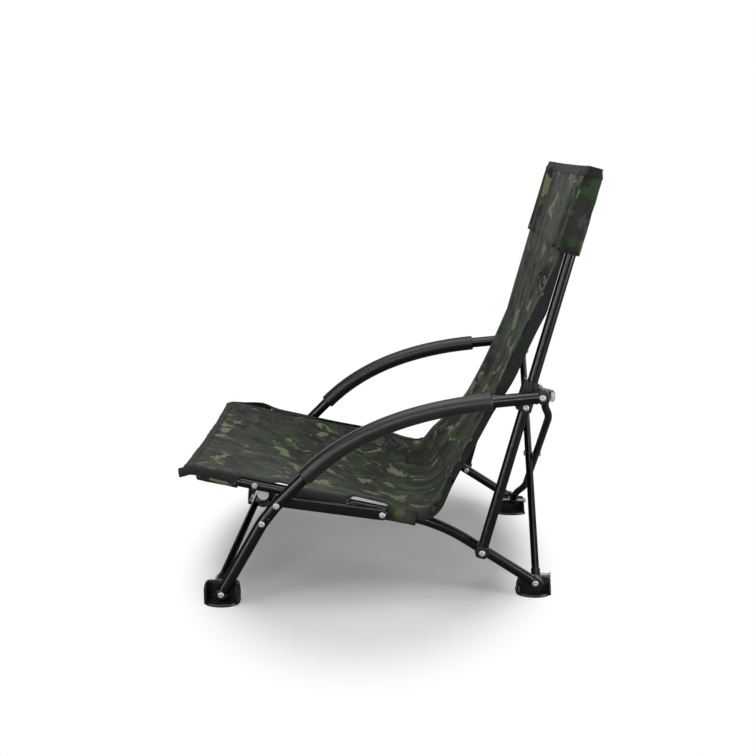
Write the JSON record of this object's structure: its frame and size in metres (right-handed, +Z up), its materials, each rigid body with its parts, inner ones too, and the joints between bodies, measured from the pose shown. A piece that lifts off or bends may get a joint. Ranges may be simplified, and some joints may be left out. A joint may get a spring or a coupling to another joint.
{
  "type": "folding fishing chair",
  "caption": "Low folding fishing chair: crossed-brace tube frame with curved padded arms, wide feet and a camouflage cloth sling seat and back.",
  "frame": {"origin": "on the ground under the centre of the chair's box", "axes": "+Z up, -Y the way the sitter faces, +X the sitter's left"},
  "size_m": [0.652, 0.7383, 0.7795],
  "materials": {
    "black_tube": "satin",
    "black_plastic": "matte",
    "soft_grip": "matte",
    "zinc_rivet": "satin",
    "camouflage_cloth": "woven"
  },
  "bodies": {
    "left_rear_foot": {"rear_foot_left": "black_plastic", "rear_foot_rivet_left": "zinc_rivet", "rear_foot_pin_left": "zinc_rivet"},
    "left_rail": {"seat_rail_left": "black_tube", "rail_end_fitting_left": "black_plastic", "upright_rivet_left": "zinc_rivet", "bar_rear_rivet_left": "zinc_rivet", "front_hub_rivet_left": "zinc_rivet", "sling_cloth": "camouflage_cloth"},
    "left_bar": {"side_bar_left": "black_tube"},
    "left_arm": {"arm_tube_left": "black_tube", "front_leg_left": "black_tube", "leg_end_fitting_left": "black_plastic", "arm_end_fitting_left": "black_plastic", "arm_grip_left": "soft_grip", "leg_rivet_left": "zinc_rivet", "bar_front_rivet_left": "zinc_rivet", "arm_rear_rivet_left": "zinc_rivet"},
    "left_front_foot": {"front_foot_left": "black_plastic", "front_foot_rivet_left": "zinc_rivet"},
    "left_upright": {"upright_left": "black_tube", "upright_end_fitting_left": "black_plastic", "head_pocket": "camouflage_cloth"},
    "left_collar": {"arm_collar_left": "black_plastic", "collar_rivet_left": "zinc_rivet"},
    "left_rear_hub": {"rear_hub_left": "black_plastic"},
    "left_front_hub": {"front_hub_left": "black_plastic", "front_hub_pin_left": "zinc_rivet"},
    "right_rear_foot": {"rear_foot_right": "black_plastic", "rear_foot_rivet_right": "zinc_rivet", "rear_foot_pin_right": "zinc_rivet"},
    "right_rail": {"seat_rail_right": "black_tube", "rail_end_fitting_right": "black_plastic", "upright_rivet_right": "zinc_rivet", "bar_rear_rivet_right": "zinc_rivet", "front_hub_rivet_right": "zinc_rivet"},
    "right_bar": {"side_bar_right": "black_tube"},
    "right_arm": {"arm_tube_right": "black_tube", "front_leg_right": "black_tube", "leg_end_fitting_right": "black_plastic", "arm_end_fitting_right": "black_plastic", "arm_grip_right": "soft_grip", "leg_rivet_right": "zinc_rivet", "bar_front_rivet_right": "zinc_rivet", "arm_rear_rivet_right": "zinc_rivet"},
    "right_front_foot": {"front_foot_right": "black_plastic", "front_foot_rivet_right": "zinc_rivet"},
    "right_upright": {"upright_right": "black_tube", "upright_end_fitting_right": "black_plastic"},
    "right_collar": {"arm_collar_right": "black_plastic", "collar_rivet_right": "zinc_rivet"},
    "right_rear_hub": {"rear_hub_right": "black_plastic"},
    "right_front_hub": {"front_hub_right": "black_plastic", "front_hub_pin_right": "zinc_rivet"},
    "front_bowed_brace": {"front_brace_bowed": "black_tube"},
    "front_straight_brace": {"front_brace_straight": "black_tube"},
    "rear_straight_brace": {"rear_brace_straight": "black_tube", "rear_cross_rivet": "zinc_rivet"},
    "rear_bowed_brace": {"rear_brace_bowed": "black_tube"}
  },
  "joints": [
    {"name": "left_rail_hinge", "type": "hinge", "parent": "left_rear_foot", "child": "left_rail", "pos_m": [0.2595, 0.269, 0.0288], "axis": [1, 0, 0], "range_deg": [-41.6, 0], "deforming": ["sling_cloth", "head_pocket"]},
    {"name": "left_bar_hinge", "type": "hinge", "parent": "left_rail", "child": "left_bar", "pos_m": [0.28075, -0.00961, 0.1623], "axis": [1, 0, 0], "range_deg": [0, 97.62]},
    {"name": "left_arm_hinge", "type": "hinge", "parent": "left_bar", "child": "left_arm", "pos_m": [0.3035, -0.19646, 0.1864], "axis": [1, 0, 0], "range_deg": [-18.89, 0]},
    {"name": "left_front_foot_hinge", "type": "hinge", "parent": "left_arm", "child": "left_front_foot", "pos_m": [0.3035, -0.29886, 0.01902], "axis": [1, 0, 0], "range_deg": [-10.8, 0]},
    {"name": "left_upright_hinge", "type": "hinge", "parent": "left_rail", "child": "left_upright", "pos_m": [0.279, 0.16972, 0.09239], "axis": [1, 0, 0], "range_deg": [0, 54.15]},
    {"name": "left_collar_slide", "type": "slide", "parent": "left_upright", "child": "left_collar", "axis": [0, 0.2563, 0.9666], "range_m": [0, 0.16146]},
    {"name": "left_rear_hub_hinge", "type": "hinge", "parent": "left_collar", "child": "left_rear_hub", "pos_m": [0.26, 0.26715, 0.38416], "axis": [1, 0, 0], "range_deg": [-12.55, 0]},
    {"name": "left_front_hub_hinge", "type": "hinge", "parent": "left_rail", "child": "left_front_hub", "pos_m": [0.238, -0.23961, 0.21002], "axis": [1, 0, 0], "range_deg": [0, 67.93]},
    {"name": "right_rail_hinge", "type": "hinge", "parent": "right_rear_foot", "child": "right_rail", "pos_m": [-0.2595, 0.269, 0.0288], "axis": [1, 0, 0], "range_deg": [-41.6, 0]},
    {"name": "right_bar_hinge", "type": "hinge", "parent": "right_rail", "child": "right_bar", "pos_m": [-0.28075, -0.00961, 0.1623], "axis": [1, 0, 0], "range_deg": [0, 97.62]},
    {"name": "right_arm_hinge", "type": "hinge", "parent": "right_bar", "child": "right_arm", "pos_m": [-0.3035, -0.19646, 0.1864], "axis": [1, 0, 0], "range_deg": [-18.89, 0]},
    {"name": "right_front_foot_hinge", "type": "hinge", "parent": "right_arm", "child": "right_front_foot", "pos_m": [-0.3035, -0.29886, 0.01902], "axis": [1, 0, 0], "range_deg": [-10.8, 0]},
    {"name": "right_upright_hinge", "type": "hinge", "parent": "right_rail", "child": "right_upright", "pos_m": [-0.279, 0.16972, 0.09239], "axis": [1, 0, 0], "range_deg": [0, 54.15]},
    {"name": "right_collar_slide", "type": "slide", "parent": "right_upright", "child": "right_collar", "axis": [0, 0.2563, 0.9666], "range_m": [0, 0.16146]},
    {"name": "right_rear_hub_hinge", "type": "hinge", "parent": "right_collar", "child": "right_rear_hub", "pos_m": [-0.26, 0.26715, 0.38416], "axis": [1, 0, 0], "range_deg": [-12.55, 0]},
    {"name": "right_front_hub_hinge", "type": "hinge", "parent": "right_rail", "child": "right_front_hub", "pos_m": [-0.238, -0.23961, 0.21002], "axis": [1, 0, 0], "range_deg": [0, 67.93]},
    {"name": "front_bowed_brace_hinge", "type": "hinge", "parent": "left_front_hub", "child": "front_bowed_brace", "pos_m": [0.238, -0.23481, 0.17602], "axis": [0, 0.9011, -0.4335], "range_deg": [-61.39, 0]},
    {"name": "front_straight_brace_hinge", "type": "hinge", "parent": "right_front_hub", "child": "front_straight_brace", "pos_m": [-0.238, -0.23481, 0.17602], "axis": [0, 0.9011, -0.4335], "range_deg": [0, 61.39]},
    {"name": "rear_straight_brace_hinge", "type": "hinge", "parent": "left_rear_foot", "child": "rear_straight_brace", "pos_m": [0.228, 0.2742, 0.031], "axis": [0, 0.9994, -0.0353], "range_deg": [0, 47.55]},
    {"name": "rear_cross_hinge", "type": "hinge", "parent": "rear_straight_brace", "child": "rear_bowed_brace", "pos_m": [0, 0.28023, 0.20148], "axis": [0, 0.9994, -0.0353], "range_deg": [-95.1, 0]},
    {"name": "right_rear_foot_hinge", "type": "hinge", "parent": "rear_bowed_brace", "child": "right_rear_foot", "pos_m": [-0.228, 0.2742, 0.031], "axis": [0, 0.9994, -0.0353], "range_deg": [0, 47.55]}
  ],
  "couplings": [
    {"joint": "left_bar_hinge", "follows": "left_rail_hinge", "ratio": -2.3466},
    {"joint": "left_arm_hinge", "follows": "left_rail_hinge", "ratio": 0.45409},
    {"joint": "left_front_foot_hinge", "follows": "left_rail_hinge", "ratio": 0.25962},
    {"joint": "left_upright_hinge", "follows": "left_rail_hinge", "ratio": -1.3017},
    {"joint": "left_collar_slide", "follows": "left_rail_hinge", "m_per_rad": -0.22238},
    {"joint": "left_rear_hub_hinge", "follows": "left_rail_hinge", "ratio": 0.30168},
    {"joint": "left_front_hub_hinge", "follows": "left_rail_hinge", "ratio": -1.6329},
    {"joint": "right_rail_hinge", "follows": "left_rail_hinge", "ratio": 1},
    {"joint": "right_bar_hinge", "follows": "left_rail_hinge", "ratio": -2.3466},
    {"joint": "right_arm_hinge", "follows": "left_rail_hinge", "ratio": 0.45409},
    {"joint": "right_front_foot_hinge", "follows": "left_rail_hinge", "ratio": 0.25962},
    {"joint": "right_upright_hinge", "follows": "left_rail_hinge", "ratio": -1.3017},
    {"joint": "right_collar_slide", "follows": "left_rail_hinge", "m_per_rad": -0.22238},
    {"joint": "right_rear_hub_hinge", "follows": "left_rail_hinge", "ratio": 0.30168},
    {"joint": "right_front_hub_hinge", "follows": "left_rail_hinge", "ratio": -1.6329},
    {"joint": "front_bowed_brace_hinge", "follows": "left_rail_hinge", "ratio": 1.4757},
    {"joint": "front_straight_brace_hinge", "follows": "left_rail_hinge", "ratio": -1.4757},
    {"joint": "rear_straight_brace_hinge", "follows": "left_rail_hinge", "ratio": -1.143},
    {"joint": "rear_cross_hinge", "follows": "left_rail_hinge", "ratio": 2.2861},
    {"joint": "right_rear_foot_hinge", "follows": "left_rail_hinge", "ratio": -1.143}
  ]
}
